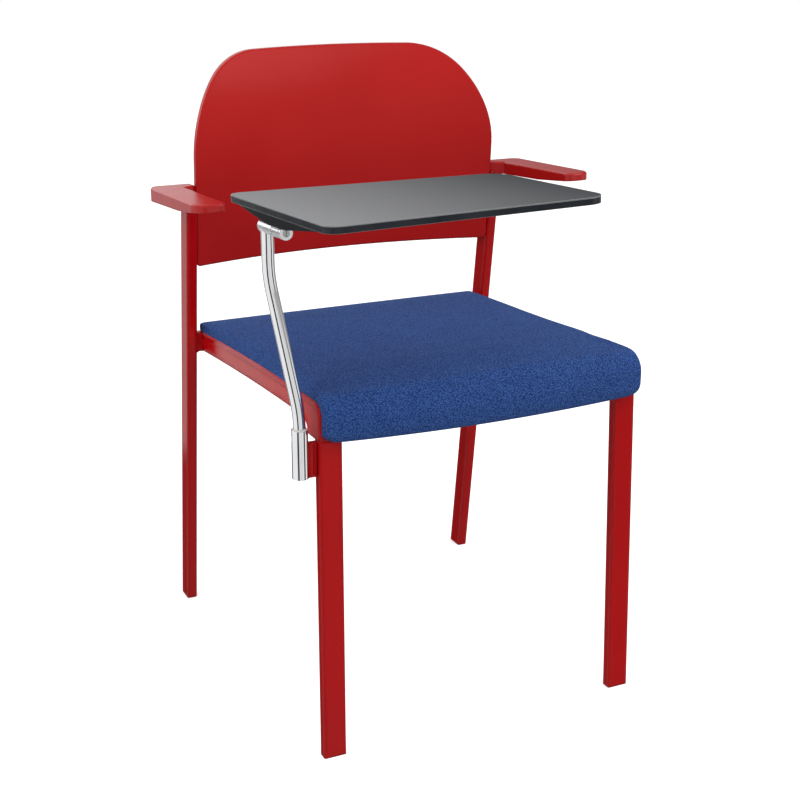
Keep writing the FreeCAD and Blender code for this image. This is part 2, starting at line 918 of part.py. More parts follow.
def drilled_arm_bar():
    bar = arm_bar()
    for hole in arm_screw_holes(screw_radius + screw_hole_gap, arm_screw_length()):
        bar = bar.cut(hole)
    return bar


def arm_screws():
    screws = []
    for place in arm_screw_placements():
        shape = Part.Compound([screw(arm_screw_length())])
        shape.Placement = place
        screws.append(shape.Solids[0])
    return Part.Compound(screws + [mirrored(s) for s in screws])


# Socket

def upright_cylinder(radius, low, high, x, y):
    return Part.makeCylinder(radius, high - low, Vector(x, y, low))


def socket_bracket():
    # Plate between the front leg and the sleeve
    inner = socket_x + socket_radius / 2
    long = -rail_out + tube_deep - inner
    corner = Vector(inner, post_y - bracket_thick / 2, bracket_low)
    plate = Part.makeBox(long, bracket_thick, bracket_tall, corner)
    leg, bore = front_leg_blank()
    sleeve = upright_cylinder(socket_radius, socket_low - over, socket_high, socket_x, post_y)
    return plate.cut(mirrored(leg)).cut(mirrored(bore)).cut(sleeve).Solids[0]


def pin_half_deg():
    return math.degrees(math.asin(stop_pin_radius / post_radius))


def swing_slot():
    # Window for the stop pin, as wide as the swing
    low_deg = stop_pin_deg - swing_out_deg - pin_half_deg() - swing_spare_deg
    sweep_deg = swing_out_deg + swing_in_deg + 2 * (pin_half_deg() + swing_spare_deg)
    base = Vector(socket_x, post_y, slot_mid - slot_tall / 2)
    wedge = Part.makeCylinder(socket_radius + over, slot_tall, base, Vector(0, 0, 1), sweep_deg)
    wedge.rotate(base, Vector(0, 0, 1), low_deg)
    return wedge


def socket_sleeve():
    sleeve = upright_cylinder(socket_radius, socket_low, socket_high, socket_x, post_y)
    radius = bush_radius + fixed_fit
    bore = upright_cylinder(radius, socket_low - over, socket_high + over, socket_x, post_y)
    return sleeve.cut(bore).cut(swing_slot())


def socket_bush():
    # Liner that stands a little above the sleeve's mouth
    low = socket_low + plug_thick
    bush = upright_cylinder(bush_radius, low, bush_high, socket_x, post_y)
    radius = post_radius + running_fit
    bore = upright_cylinder(radius, low - over, bush_high + over, socket_x, post_y)
    return bush.cut(bore).cut(swing_slot())


def socket_plug():
    return upright_cylinder(bush_radius, socket_low, socket_low + plug_thick, socket_x, post_y)


# Post

def post_path(low):
    points = [
        Vector(socket_x, post_y, low),
        Vector(socket_x, post_y, post_low_bend),
        Vector(hinge_x, hinge_y, post_high_bend),
        Vector(hinge_x, hinge_y, hinge_z),
    ]
    return Part.Wire(run_edges(points, [0, post_bend_round, post_bend_round, 0], False))


def pipe(radius, path, start):
    ring = Part.Wire(Part.Circle(start, Vector(0, 0, 1), radius).toShape())
    return path.makePipeShell([ring], True, True)


def post_bar():
    low = socket_low + plug_thick + seat_gap
    path = post_path(low)
    start = Vector(socket_x, post_y, low)
    bar = pipe(post_radius, path, start).cut(knuckle_barrel(knuckle_radius))
    return bar.cut(stop_pin_blank(stop_pin_radius + fixed_fit)).Solids[0]


def stop_pin_blank(radius):
    angle = math.radians(stop_pin_deg)
    out = Vector(math.cos(angle), math.sin(angle), 0)
    centre = Vector(socket_x, post_y, slot_mid)
    return Part.makeCylinder(radius, stop_pin_out - stop_pin_in, centre + out * stop_pin_in, out)


# Hinge and tablet, made about the hinge point and then set in place

def hinge_placement():
    tilt = Rotation(Vector(1, 0, 0), -hinge_tilt_deg)
    turn = Rotation(Vector(0, 0, 1), hinge_turn_deg)
    return Placement(Vector(hinge_x, hinge_y, hinge_z), turn.multiply(tilt))


def set_on_hinge(shape):
    group = Part.Compound([shape])
    group.Placement = hinge_placement()
    solids = group.Solids
    if len(solids) == 1:
        return solids[0]
    return Part.Compound(solids)


def barrel(radius, rear, length):
    # Cylinder along the hinge line from rear towards the front
    return Part.makeCylinder(radius, length, Vector(0, rear, 0), Vector(0, -1, 0))


def knuckle_barrel(radius):
    return set_on_hinge(barrel(radius, knuckle_rear, knuckle_length))


def block_floor_at(y):
    # Underside of the block at y on its rear slope
    share = (block_rear - y) / (block_rear - block_flat_rear)
    return board_floor - block_deep * min(share, 1)


def post_knuckle():
    # Bored barrel welded on the post, with the tab on which the block comes to rest
    body = barrel(knuckle_radius, knuckle_rear, knuckle_length)
    rest = block_floor_at(stop_tab_y - stop_tab_long / 2) - seat_gap
    tab = Part.makeBox(
        stop_tab_out, stop_tab_long, stop_tab_thick,
        Vector(0, stop_tab_y - stop_tab_long / 2, rest - stop_tab_thick),
    )
    body = body.fuse(tab)
    body = body.cut(barrel(pin_radius + running_fit, knuckle_rear + over, knuckle_length + 2 * over))
    return set_on_hinge(body.removeSplitter())


def hinge_washer():
    ring = barrel(knuckle_radius - washer_inset, knuckle_front - running_fit, washer_thick)
    return set_on_hinge(ring.cut(barrel(pin_radius + running_fit, knuckle_rear, 2 * knuckle_length)))


def tablet_knuckle():
    # Moving barrel with a flat foot under the block, a groove and an end cap
    core_length = end_knuckle_length + end_groove + end_cap_length / 2
    core = barrel(knuckle_radius - end_groove_deep, end_knuckle_rear, core_length)
    body = barrel(knuckle_radius, end_knuckle_rear, end_knuckle_length)
    cap = barrel(knuckle_radius, end_cap_rear, end_cap_length)
    foot = Part.makeBox(
        foot_wide, end_knuckle_length, knuckle_radius,
        Vector(-foot_wide / 2, end_groove_rear, block_floor - knuckle_radius),
    )
    body = body.fuse([core, cap, foot])
    body = body.cut(barrel(pin_radius + fixed_fit, knuckle_rear, 3 * knuckle_length))
    return set_on_hinge(body.removeSplitter())


def hinge_pin():
    # Bolt with a hexagon head behind the fixed barrel and a slotted end in the cap
    rear = knuckle_rear + running_fit
    pin = barrel(pin_radius, rear, rear - end_cap_front)
    head = hexagon(pin_head_radius, 0, pin_head_thick)
    head.rotate(Vector(0, 0, 0), Vector(1, 0, 0), -90)
    head.translate(Vector(0, rear, 0))
    slot = Part.makeBox(
        pin_slot_wide, pin_slot_deep, 2 * knuckle_radius,
        Vector(-pin_slot_wide / 2, end_cap_front, -knuckle_radius),
    )
    return set_on_hinge(pin.fuse(head).cut(slot).removeSplitter())


def tablet_plan(inset):
    left = tablet_left + inset
    right = tablet_left + tablet_long - inset
    points = [
        (left, tablet_mid_y - tablet_left_half + inset),
        (right, tablet_mid_y - tablet_right_half + inset),
        (right, tablet_mid_y + tablet_right_half - inset),
        (left, tablet_mid_y + tablet_left_half - inset),
    ]
    left_round = tablet_left_round - inset
    right_round = tablet_right_round - inset
    return points, [left_round, right_round, right_round, left_round]


def tablet_slab(inset, low, thick):
    points, radii = tablet_plan(inset)
    return prism(on_plan(points, low), radii, Vector(0, 0, thick))


def tablet_top():
    return set_on_hinge(tablet_slab(0, board_floor + tablet_core_thick, tablet_sheet_thick))


def tablet_band():
    ring = tablet_slab(0, board_floor, tablet_core_thick)
    room = tablet_slab(tablet_band_wide, board_floor - over, tablet_core_thick + 2 * over)
    return set_on_hinge(ring.cut(room))


def block_screw_spots():
    return [(x, y) for x in block_screw_x for y in block_screw_y]


def block_screw_length():
    return block_skin + tablet_core_thick - screw_bite / 2


def tablet_core():
    core = tablet_slab(tablet_band_wide, board_floor, tablet_core_thick)
    length = block_screw_length() + fixed_fit
    for x, y in block_screw_spots():
        hole = hexagon(screw_radius + fixed_fit, board_floor - block_skin, length)
        core = core.cut(hole.translated(Vector(x, y, 0)))
    return set_on_hinge(core)


def tablet_block():
    # Moulding along the tablet's left edge, deepest over the moving barrel
    points = [
        (block_rear, board_floor),
        (block_flat_rear, block_floor),
        (block_flat_front, block_floor),
        (block_front, board_floor),
    ]
    left = tablet_left + block_inset
    widest = corner_round((*points[0], 0), (*points[1], 0), (*points[2], 0), 1)
    bend = min(block_bend_round, widest)
    block = prism(on_side(points, left), [0, bend, bend, 0], Vector(block_wide, 0, 0))
    sides = [left, left + block_wide]

    def lower_rim(p):
        return min(abs(p.x - s) for s in sides) < fixed_fit and p.z < board_floor + fixed_fit

    rim = [e for e in edges_where(block, lower_rim) if e.BoundBox.ZMin < board_floor - fixed_fit]
    block = block.makeFillet(block_edge_round, rim)
    head_room = block_deep - block_skin + over
    for x, y in block_screw_spots():
        hole = hexagon(screw_radius + screw_hole_gap, block_floor, block_deep + over)
        room = hexagon(screw_head_radius + screw_hole_gap, block_floor - over, head_room)
        block = block.cut(hole.translated(Vector(x, y, 0))).cut(room.translated(Vector(x, y, 0)))
    return set_on_hinge(block)


def tablet_screws():
    screws = []
    for x, y in block_screw_spots():
        shape = screw(block_screw_length())
        shape.translate(Vector(x, y, board_floor - block_skin))
        screws.append(shape)
    return set_on_hinge(Part.Compound(screws))


def solids_of(shape):
    return len(shape.Solids)


nodes = {
    "leg_front_left": front_leg(),
    "leg_rear_left": rear_leg(),
    "rail_side_left": side_rail(),
    "arm_bar_left": drilled_arm_bar(),
    "arm_pad_left": arm_pad(),
}
for name in list(nodes):
    nodes[name.replace("_left", "_right")] = mirrored(nodes[name])
nodes["rail_cross_rear"] = rear_cross_rail()
nodes["rail_cross_under"] = under_rail()
nodes["foot_glides"] = foot_glides()
nodes["leg_caps"] = leg_caps()
nodes["seat_board"] = seat_board()
nodes["seat_cushion"] = seat_cushion()
nodes["seat_screws"] = seat_screws()
nodes["back_panel"] = back_panel()
nodes["back_lugs"] = back_lugs()
nodes["back_screws"] = back_screws()
nodes["arm_screws"] = arm_screws()
nodes["socket_bracket"] = socket_bracket()
nodes["socket_sleeve"] = socket_sleeve()
nodes["socket_bush"] = socket_bush()
nodes["socket_plug"] = socket_plug()
nodes["post_bar"] = post_bar()
nodes["post_knuckle"] = post_knuckle()
nodes["post_stop_pin"] = stop_pin_blank(stop_pin_radius)
nodes["hinge_washer"] = hinge_washer()
nodes["hinge_pin"] = hinge_pin()
nodes["tablet_knuckle"] = tablet_knuckle()
nodes["tablet_block"] = tablet_block()
nodes["tablet_core"] = tablet_core()
nodes["tablet_band"] = tablet_band()
nodes["tablet_top"] = tablet_top()
nodes["tablet_screws"] = tablet_screws()

os.makedirs("parts", exist_ok=True)
for name, shape in nodes.items():
    box = shape.BoundBox
    print(name, solids_of(shape), shape.isValid(), round(shape.Volume), [
        round(v, 1) for v in (box.XMin, box.XMax, box.YMin, box.YMax, box.ZMin, box.ZMax)
    ])
    shape.exportStep("parts/" + name + ".step")
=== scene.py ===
import json
import math
import bmesh
import bpy
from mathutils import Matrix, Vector


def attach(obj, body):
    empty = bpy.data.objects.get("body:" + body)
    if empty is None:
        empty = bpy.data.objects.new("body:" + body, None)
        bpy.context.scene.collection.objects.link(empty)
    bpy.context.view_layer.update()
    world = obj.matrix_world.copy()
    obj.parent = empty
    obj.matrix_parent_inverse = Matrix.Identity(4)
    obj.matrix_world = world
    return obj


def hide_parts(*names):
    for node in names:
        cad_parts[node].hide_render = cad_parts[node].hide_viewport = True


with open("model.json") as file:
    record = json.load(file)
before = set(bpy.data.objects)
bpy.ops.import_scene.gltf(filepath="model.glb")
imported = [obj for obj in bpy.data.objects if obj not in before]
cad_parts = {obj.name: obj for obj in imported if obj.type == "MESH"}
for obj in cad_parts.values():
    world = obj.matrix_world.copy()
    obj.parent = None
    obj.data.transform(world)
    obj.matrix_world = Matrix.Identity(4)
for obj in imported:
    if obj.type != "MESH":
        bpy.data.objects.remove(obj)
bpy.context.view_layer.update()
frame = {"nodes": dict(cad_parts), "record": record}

scene = bpy.context.scene
nodes = frame["nodes"]


# Small helpers

def clamped(value):
    return max(0, min(1, value))


def finishMesh(bm, name):
    mesh = bpy.data.meshes.new(name)
    bm.to_mesh(mesh)
    bm.free()
    return mesh


def newObject(name, mesh, body):
    piece = bpy.data.objects.new(name, mesh)
    scene.collection.objects.link(piece)
    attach(piece, body)
    return piece


def smoothShade(piece):
    for face in piece.data.polygons:
        face.use_smooth = True


def wear(piece, material):
    piece.data.materials.clear()
    piece.data.materials.append(material)


# Materials are built from a few shared node steps

bevel = {
    "samples": 6,
    "lineStart": 0.995,  # how far the bevel turns the normal, as a cosine, where a painted edge highlight begins
    "lineFull": 0.93,
}
patch = {
    "start": 0.3,  # noise level below which a cloudy colour is the low one
    "end": 0.7,
    "wideEnd": 0.75,
}


def newMaterial(name):
    material = bpy.data.materials.new(name)
    material.use_nodes = True
    tree = material.node_tree
    shader = tree.nodes["Principled BSDF"]
    return material, tree, shader


def addNode(tree, kind, **settings):
    # A setting is a socket's value where the node has such a socket, or else an option
    node = tree.nodes.new(kind)
    for key, value in settings.items():
        if key in node.inputs:
            node.inputs[key].default_value = value
        else:
            setattr(node, key, value)
    return node


def placeNode(tree, stretch=(1, 1, 1), turn=(0, 0, 0)):
    coords = addNode(tree, "ShaderNodeTexCoord")
    mapping = addNode(tree, "ShaderNodeMapping", Scale=stretch, Rotation=turn)
    tree.links.new(coords.outputs["Object"], mapping.inputs["Vector"])
    return mapping.outputs["Vector"]


def noiseNode(tree, place, scale, detail=3.0, roughness=0.55):
    node = addNode(tree, "ShaderNodeTexNoise", Scale=scale, Detail=detail, Roughness=roughness)
    tree.links.new(place, node.inputs["Vector"])
    return node.outputs["Fac"]


def axesNode(tree, vector):
    node = addNode(tree, "ShaderNodeSeparateXYZ")
    tree.links.new(vector, node.inputs[0])
    return node.outputs


def rampNode(tree, factor, stops):
    node = addNode(tree, "ShaderNodeValToRGB")
    ramp = node.color_ramp
    while len(ramp.elements) < len(stops):
        ramp.elements.new(0.5)
    for element, (position, colour) in zip(ramp.elements, stops):
        element.position = position
        element.color = (*colour, 1)
    tree.links.new(factor, node.inputs["Fac"])
    return node.outputs["Color"]


def cloudyNode(tree, factor, low, high, end=patch["end"]):
    return rampNode(tree, factor, [(patch["start"], low), (end, high)])


def shadeNode(tree, factor, levels):
    # Greys that a colour is multiplied by
    low, high = levels
    return cloudyNode(tree, factor, (low,) * 3, (high,) * 3)


def rangeNode(tree, factor, low, high, start=0.0, end=1.0, easing="LINEAR"):
    node = addNode(tree, "ShaderNodeMapRange", interpolation_type=easing)
    for name, value in (("From Min", start), ("From Max", end), ("To Min", low), ("To Max", high)):
        node.inputs[name].default_value = value
    tree.links.new(factor, node.inputs["Value"])
    return node.outputs["Result"]


def setOrLink(tree, socket, value):
    if hasattr(value, "is_output"):
        tree.links.new(value, socket)
    else:
        socket.default_value = (*value, 1) if isinstance(value, tuple) else value


def mixNode(tree, factor, first, second, mode="MIX"):
    node = addNode(tree, "ShaderNodeMix", data_type="RGBA", blend_type=mode)
    colours = [s for s in node.inputs if s.type == "RGBA"]
    setOrLink(tree, node.inputs["Factor"], factor)
    setOrLink(tree, colours[0], first)
    setOrLink(tree, colours[1], second)
    return [s for s in node.outputs if s.type == "RGBA"][0]


def mathNode(tree, operation, first, second):
    node = addNode(tree, "ShaderNodeMath", operation=operation)
    setOrLink(tree, node.inputs[0], first)
    setOrLink(tree, node.inputs[1], second)
    return node.outputs[0]


def softEdge(tree, radius):
    return addNode(tree, "ShaderNodeBevel", samples=bevel["samples"], Radius=radius).outputs["Normal"]


def paintedEdgeHighlight(tree, rounded):
    # One where the bevel turns the normal, so that trimmed edges show as thin pale lines of painted
    # highlight
    surface = addNode(tree, "ShaderNodeNewGeometry")
    turned = addNode(tree, "ShaderNodeVectorMath", operation="DOT_PRODUCT")
    tree.links.new(rounded, turned.inputs[0])
    tree.links.new(surface.outputs["Normal"], turned.inputs[1])
    return rangeNode(tree, turned.outputs["Value"], 0.0, 1.0, bevel["lineStart"], bevel["lineFull"])


def bumpNode(tree, height, relief, normal=None):
    strength, distance = relief
    node = addNode(tree, "ShaderNodeBump", Strength=strength, Distance=distance)
    tree.links.new(height, node.inputs["Height"])
    if normal is not None:
        tree.links.new(normal, node.inputs["Normal"])
    return node.outputs["Normal"]


# In every finish, a relief is the bump's strength and its height in metres

frameCoat = {
    "tube": {
        "low": (0.38, 0.0012, 0.0024),
        "high": (0.425, 0.0020, 0.0032),
        "gloss": 0.16,
        "edgeRadius": 0.0052,
    },
    # The rails' red is paler than the tube's: painted light, for the light the rails catch
    "rail": {
        "low": (0.46, 0.0016, 0.0030),
        "high": (0.51, 0.0026, 0.0040),
        "gloss": 0.26,
        "edgeRadius": 0.011,
    },
    "roughness": (0.14, 0.2),
    "cloudScale": 7.0,
    "scuffScale": 42.0,
    "peelScale": 950.0,
    "relief": (0.12, 0.0003),
}


def paintedFrame(name, coat):
    # Powder coat with a faint orange peel
    look = frameCoat[coat]
    material, tree, shader = newMaterial(name)
    place = placeNode(tree)
    cloud = noiseNode(tree, place, frameCoat["cloudScale"])
    colour = cloudyNode(tree, cloud, look["low"], look["high"], patch["wideEnd"])
    tree.links.new(colour, shader.inputs["Base Color"])
    scuff = noiseNode(tree, place, frameCoat["scuffScale"], detail=4.0)
    tree.links.new(rangeNode(tree, scuff, *frameCoat["roughness"]), shader.inputs["Roughness"])
    peel = noiseNode(tree, place, frameCoat["peelScale"], detail=2.0)
    rounded = softEdge(tree, look["edgeRadius"])
    tree.links.new(bumpNode(tree, peel, frameCoat["relief"], rounded), shader.inputs["Normal"])
    shader.inputs["Specular IOR Level"].default_value = look["gloss"]
    return material


mouldedRed = {
    "panel": {"low": (0.385, 0.0092, 0.0086), "high": (0.43, 0.0125, 0.0115), "gloss": 0.1},
    "pad": {"low": (0.37, 0.0050, 0.0046), "high": (0.41, 0.0078, 0.0068), "gloss": 0.42},
    "roughness": (0.26, 0.36),
    "edgeRadius": 0.0026,
    "cloudScale": 5.0,
    "wornScale": 26.0,
    "grainScale": 1400.0,
    "relief": (0.14, 0.0002),
}


def mouldedShell(name, part):
    # Red moulding with a fine grain
    look = mouldedRed[part]
    material, tree, shader = newMaterial(name)
    place = placeNode(tree)
    cloud = noiseNode(tree, place, mouldedRed["cloudScale"], detail=2.0)
    colour = cloudyNode(tree, cloud, look["low"], look["high"], patch["wideEnd"])
    tree.links.new(colour, shader.inputs["Base Color"])
    worn = noiseNode(tree, place, mouldedRed["wornScale"], detail=4.0)
    tree.links.new(rangeNode(tree, worn, *mouldedRed["roughness"]), shader.inputs["Roughness"])
    grain = noiseNode(tree, place, mouldedRed["grainScale"], detail=2.0)
    rounded = softEdge(tree, mouldedRed["edgeRadius"])
    tree.links.new(bumpNode(tree, grain, mouldedRed["relief"], rounded), shader.inputs["Normal"])
    shader.inputs["Specular IOR Level"].default_value = look["gloss"]
    return material


crepe = {
    "deep": (0.017, 0.046, 0.184),
    "thread": (0.027, 0.081, 0.290),
    "light": (0.058, 0.140, 0.410),
    "stops": (0.45, 0.85, 1.0),  # heights of the three colours; darker low and paler high is painted shade and highlight
    "pebble": 0.0021,  # across, in metres
    "loose": 0.85,
    "smooth": 0.2,
    "turned": (0.6, 0.5, 0.35),
    "pebbleShare": 1.1,
    "fuzzShare": 0.5,
    "fuzzScale": 1500.0,
    "cloudScale": 38.0,
    "shades": (0.93, 1.05),
    "relief": (1.0, 0.0021),
    "roughness": 0.8,
    "gloss": 0.12,
    "sheen": 0.04,
    "sheenRoughness": 0.4,
    "sheenTint": (0.5, 0.66, 1.0, 1),
}


def wovenCrepe():
    # Uneven pebbles of thread, with a fine fuzz on top, the thread's colour darker in the hollows and
    # paler on the tops as painted shade and highlight
    material, tree, shader = newMaterial("blueCrepe")
    place = placeNode(tree, turn=crepe["turned"])  # turned, so that its layers leave no rings on the seat
    pebble = addNode(
        tree, "ShaderNodeTexVoronoi", feature="SMOOTH_F1",
        Scale=1 / crepe["pebble"], Randomness=crepe["loose"], Smoothness=crepe["smooth"],
    )
    tree.links.new(place, pebble.inputs["Vector"])
    raised = rangeNode(tree, pebble.outputs["Distance"], 1.0, 0.0)
    fuzz = noiseNode(tree, place, crepe["fuzzScale"], roughness=0.6)
    height = mathNode(
        tree, "ADD",
        mathNode(tree, "MULTIPLY", raised, crepe["pebbleShare"]),
        mathNode(tree, "MULTIPLY", fuzz, crepe["fuzzShare"]),
    )
    # Colour by height: the thread's colour, with painted shade in the hollows and painted highlight on
    # the pebble tops
    colours = (crepe["deep"], crepe["thread"], crepe["light"])
    threadsAndPaintedShade = rampNode(tree, height, list(zip(crepe["stops"], colours)))
    shade = shadeNode(tree, noiseNode(tree, place, crepe["cloudScale"]), crepe["shades"])
    tree.links.new(mixNode(tree, 1.0, threadsAndPaintedShade, shade, "MULTIPLY"), shader.inputs["Base Color"])
    tree.links.new(bumpNode(tree, height, crepe["relief"]), shader.inputs["Normal"])
    shader.inputs["Roughness"].default_value = crepe["roughness"]
    shader.inputs["Specular IOR Level"].default_value = crepe["gloss"]
    shader.inputs["Sheen Weight"].default_value = crepe["sheen"]
    shader.inputs["Sheen Roughness"].default_value = crepe["sheenRoughness"]
    shader.inputs["Sheen Tint"].default_value = crepe["sheenTint"]
    return material


chrome = {
    "low": (0.80, 0.81, 0.83),
    "high": (0.88, 0.88, 0.89),
    "stops": (0.2, 0.8),
    "polished": (0.03, 0.08),
    "unpolished": (0.26, 0.34),
    "smudgeScale": 34.0,
    "rippleScale": 700.0,
    "rippleStretch": (1, 1, 0.12),
    "relief": (0.05, 0.0002),
    "edgeRadius": 0.0006,
}


def chromePlate(name, polish):
    material, tree, shader = newMaterial(name)
    smudge = noiseNode(tree, placeNode(tree), chrome["smudgeScale"], detail=4.0)
    tree.links.new(rangeNode(tree, smudge, *chrome[polish]), shader.inputs["Roughness"])
    tone = rampNode(tree, smudge, list(zip(chrome["stops"], (chrome["low"], chrome["high"]))))
    tree.links.new(tone, shader.inputs["Base Color"])
    ripple = noiseNode(tree, placeNode(tree, chrome["rippleStretch"]), chrome["rippleScale"], detail=2.0)
    rounded = softEdge(tree, chrome["edgeRadius"])
    tree.links.new(bumpNode(tree, ripple, chrome["relief"], rounded), shader.inputs["Normal"])
    shader.inputs["Metallic"].default_value = 1.0
    return material


zinc = {
    "low": (0.42, 0.42, 0.43),
    "high": (0.6, 0.6, 0.6),
    "roughness": (0.25, 0.45),
    "spangleScale": 380.0,
    "relief": (0.1, 0.0002),
    "edgeRadius": 0.0004,
}


def zincSteel():
    material, tree, shader = newMaterial("zincSteel")
    spangle = noiseNode(tree, placeNode(tree), zinc["spangleScale"])
    tree.links.new(cloudyNode(tree, spangle, zinc["low"], zinc["high"]), shader.inputs["Base Color"])
    tree.links.new(rangeNode(tree, spangle, *zinc["roughness"]), shader.inputs["Roughness"])
    rounded = softEdge(tree, zinc["edgeRadius"])
    tree.links.new(bumpNode(tree, spangle, zinc["relief"], rounded), shader.inputs["Normal"])
    shader.inputs["Metallic"].default_value = 1.0
    return material


laminateSheet = {
    # The top runs from dark to light as a painted reflection, paler towards the post's end
    "dark": (0.070, 0.072, 0.077),
    "light": (0.236, 0.238, 0.243),
    # Colour of the painted highlight along the rounded edges
    "edgeHighlightColour": (0.32, 0.325, 0.33),
    "darkEnd": 0.07,
    "lightEnd": -0.28,
    "roughness": (0.4, 0.5),
    "edgeRadius": 0.0012,
    "speckScale": 800.0,
    "speckShades": (0.96, 1.04),
    "touchScale": 16.0,
    "relief": (0.03, 0.0001),
}


def greyLaminate():
    sheet = laminateSheet
    material, tree, shader = newMaterial("greyLaminate")
    place = placeNode(tree)
    # Painted reflection: paler towards the post's end, standing in for a bright surround mirrored in the
    # top
    along = rangeNode(tree, axesNode(tree, place)["X"], 0.0, 1.0, sheet["darkEnd"], sheet["lightEnd"])
    paintedReflection = mixNode(tree, along, sheet["dark"], sheet["light"])
    speck = noiseNode(tree, place, sheet["speckScale"], roughness=0.7)
    paintedReflection = mixNode(tree, 1.0, paintedReflection, shadeNode(tree, speck, sheet["speckShades"]), "MULTIPLY")
    rounded = softEdge(tree, sheet["edgeRadius"])
    # Thin pale lines of painted highlight along the rounded edges
    colour = mixNode(tree, paintedEdgeHighlight(tree, rounded), paintedReflection, sheet["edgeHighlightColour"])
    tree.links.new(colour, shader.inputs["Base Color"])
    touch = noiseNode(tree, place, sheet["touchScale"], detail=5.0)
    tree.links.new(rangeNode(tree, touch, *sheet["roughness"]), shader.inputs["Roughness"])
    tree.links.new(bumpNode(tree, speck, sheet["relief"], rounded), shader.inputs["Normal"])
    shader.inputs["Specular IOR Level"].default_value = 0.0  # dead matt, so the red panel leaves no glare
    return material


mouldings = {
    "cloudScale": 30.0,
    "blackMoulding": {
        "low": (0.006, 0.0065, 0.0075),
        "high": (0.011, 0.012, 0.0135),
        # Colour of the painted highlight along the rounded edges
        "edgeHighlightColour": (0.11, 0.115, 0.12),
        "roughness": (0.42, 0.55),
        "gloss": 0.05,
        "grainScale": 1300.0,
        "relief": (0.3, 0.0003),
        "edgeRadius": 0.0013,
    },
    "blackEdgeBand": {
        "low": (0.012, 0.014, 0.018),
        "high": (0.022, 0.025, 0.03),
        # Colour of the painted highlight along the rounded edges
        "edgeHighlightColour": (0.2, 0.205, 0.21),
        "roughness": (0.18, 0.26),
        "gloss": 0.14,
        "grainScale": 700.0,
        "relief": (0.04, 0.0003),
        "edgeRadius": 0.0013,
    },
    "darkBacking": {
        "low": (0.03, 0.03, 0.033),
        "high": (0.045, 0.045, 0.048),
        "edgeHighlightColour": None,
        "roughness": (0.5, 0.62),
        "gloss": 0.5,
        "grainScale": 600.0,
        "relief": (0.15, 0.0003),
        "edgeRadius": 0.0008,
    },
    "naturalNylon": {
        "low": (0.66, 0.66, 0.63),
        "high": (0.76, 0.76, 0.73),
        "edgeHighlightColour": None,
        "roughness": (0.35, 0.5),
        "gloss": 0.5,
        "grainScale": 900.0,
        "relief": (0.1, 0.0003),
        "edgeRadius": 0.0004,
    },
}


def plainMoulding(name):
    look = mouldings[name]
    material, tree, shader = newMaterial(name)
    place = placeNode(tree)
    cloud = noiseNode(tree, place, mouldings["cloudScale"])
    colour = cloudyNode(tree, cloud, look["low"], look["high"])
    rounded = softEdge(tree, look["edgeRadius"])
    # Thin pale lines of painted highlight along the rounded edges
    if look["edgeHighlightColour"]:
        colour = mixNode(tree, paintedEdgeHighlight(tree, rounded), colour, look["edgeHighlightColour"])
    tree.links.new(colour, shader.inputs["Base Color"])
    tree.links.new(rangeNode(tree, cloud, *look["roughness"]), shader.inputs["Roughness"])
    grain = noiseNode(tree, place, look["grainScale"])
    tree.links.new(bumpNode(tree, grain, look["relief"], rounded), shader.inputs["Normal"])
    shader.inputs["Specular IOR Level"].default_value = look["gloss"]
    return material


ply = {
    "stops": ((0.25, (0.26, 0.14, 0.065)), (0.6, (0.42, 0.26, 0.13)), (0.85, (0.5, 0.33, 0.18))),
    "stretch": (1, 14, 14),
    "grainScale": 9.0,
    "roughness": (0.45, 0.62),
    "relief": (0.25, 0.0003),
    "edgeRadius": 0.0006,
}


def shellPly():
    material, tree, shader = newMaterial("shellPly")
    place = placeNode(tree, ply["stretch"])
    grain = noiseNode(tree, place, ply["grainScale"], detail=6.0, roughness=0.65)
    tree.links.new(rampNode(tree, grain, ply["stops"]), shader.inputs["Base Color"])
    tree.links.new(rangeNode(tree, grain, *ply["roughness"]), shader.inputs["Roughness"])
    rounded = softEdge(tree, ply["edgeRadius"])
    tree.links.new(bumpNode(tree, grain, ply["relief"], rounded), shader.inputs["Normal"])
    return material


finishes = {
    "red_frame": paintedFrame("redPowderCoat", "tube"),
    "red_plastic": mouldedShell("redPad", "pad"),
    "blue_fabric": wovenCrepe(),
    "shell_ply": shellPly(),
    "black_plastic": plainMoulding("blackMoulding"),
    "white_bush": plainMoulding("naturalNylon"),
    "chrome_post": chromePlate("chromePlate", "polished"),
    "steel_screws": zincSteel(),
    "grey_laminate": greyLaminate(),
    "tablet_edge": plainMoulding("blackEdgeBand"),
    "tablet_board": plainMoulding("darkBacking"),
}
for entry in frame["record"]["subparts"]:
    wear(nodes[entry["node"]], finishes[entry["material_slot"]])
# Pieces that look unlike the rest of their slot: the rails' tube has fuller corners and a paler red that
# is painted light, the hinge's barrels are plated without polishing, and the panel is a lighter batch of
# red
ownFinishes = (
    (paintedFrame("redRailCoatPaintedLight", "rail"), ("rail_side_left", "rail_side_right")),
    (chromePlate("barrelPlate", "unpolished"), ("post_knuckle", "tablet_knuckle")),
    (mouldedShell("redPanel", "panel"), ("back_panel",)),
)
for finish, names in ownFinishes:
    for name in names:
        wear(nodes[name], finish)
print("materials:", len(finishes) + len(ownFinishes))


# Cushion: a wrapped pad that follows the rails and rolls over the front knee

